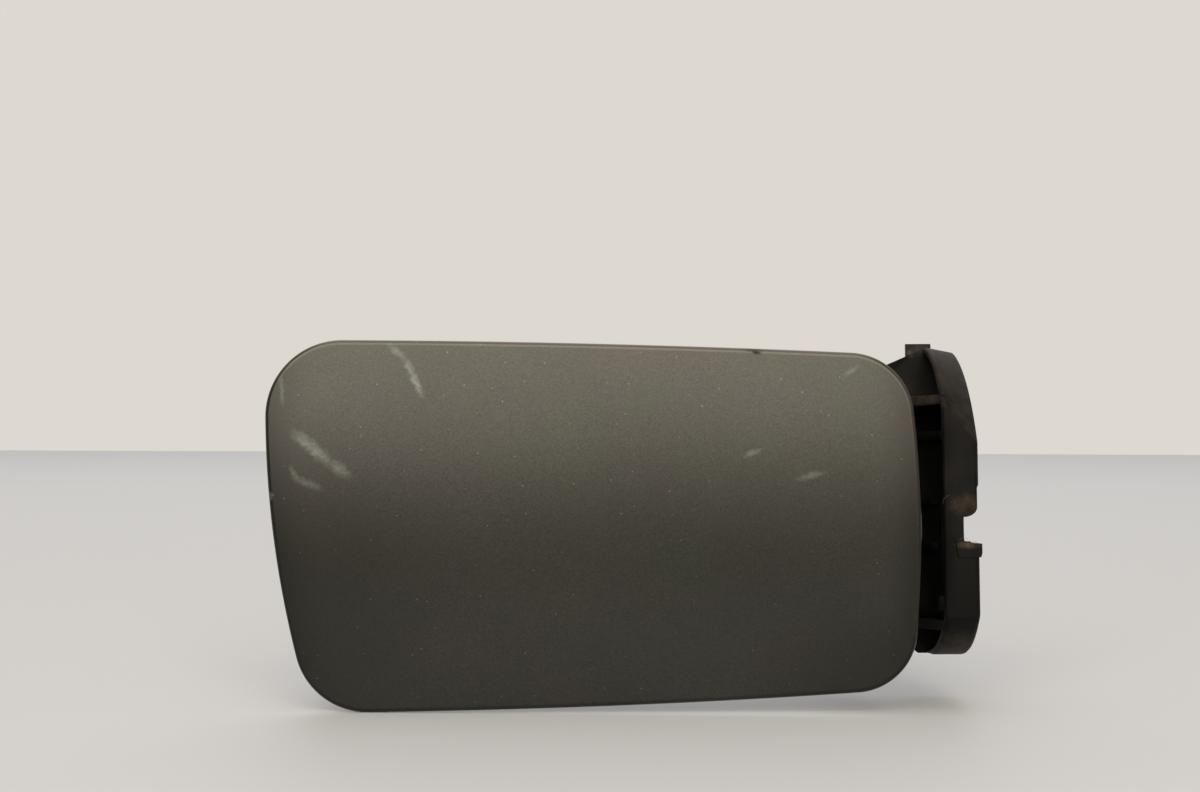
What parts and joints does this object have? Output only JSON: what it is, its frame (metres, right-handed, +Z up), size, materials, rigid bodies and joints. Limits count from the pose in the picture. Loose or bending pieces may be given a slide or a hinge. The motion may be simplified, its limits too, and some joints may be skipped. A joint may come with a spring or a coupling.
{
  "type": "car fuel door",
  "caption": "Painted steel car fuel door with a rolled hem, on a black moulded gooseneck hinge housing that bolts to the body; the flap swings open on two short pins.",
  "frame": {"origin": "middle of the two mounting holes, on the back of the housing's flange", "axes": "+X along the flap towards the hinge and the box's closed end, +Y into the car, +Z up; the flap is closed"},
  "size_m": [0.232, 0.0415, 0.1205],
  "materials": {
    "grey_green_paint": "metallic grey-green paint, scuffed",
    "panel_paint": "thin overspray over primer",
    "housing_plastic": "black moulded plastic, dusty",
    "arm_plastic": "black glass-filled plastic",
    "fitting_plastic": "black moulded plastic",
    "rubber": "black rubber",
    "spring_steel": "spring steel, slightly tarnished",
    "zinc_steel": "zinc-plated steel, dull"
  },
  "bodies": {
    "housing": {"hinge_box": "housing_plastic", "hinge_pin_upper": "zinc_steel", "hinge_pin_lower": "zinc_steel", "pin_clip_upper": "zinc_steel", "pin_clip_lower": "zinc_steel", "leaf_spring": "spring_steel", "spring_rivet": "zinc_steel", "stop_buffer": "rubber"},
    "flap": {"outer_skin": "grey_green_paint", "inner_panel": "panel_paint", "hinge_plate": "zinc_steel", "gooseneck_arm": "arm_plastic", "arm_screw_1": "zinc_steel", "arm_screw_2": "zinc_steel", "arm_screw_3": "zinc_steel", "arm_screw_4": "zinc_steel", "weld_nut_1": "zinc_steel", "weld_nut_2": "zinc_steel", "weld_nut_3": "zinc_steel", "weld_nut_4": "zinc_steel", "latch_tongue": "fitting_plastic", "latch_screw_1": "zinc_steel", "latch_screw_2": "zinc_steel", "buffer_upper": "rubber", "buffer_lower": "rubber", "cap_holder": "fitting_plastic", "cap_rivet_1": "zinc_steel", "cap_rivet_2": "zinc_steel"}
  },
  "joints": [
    {"name": "flap_hinge", "type": "hinge", "parent": "housing", "child": "flap", "pos_m": [0.021, -0.0285, 0], "axis": [0, 0, 1], "range_deg": [0, 80]}
  ]
}
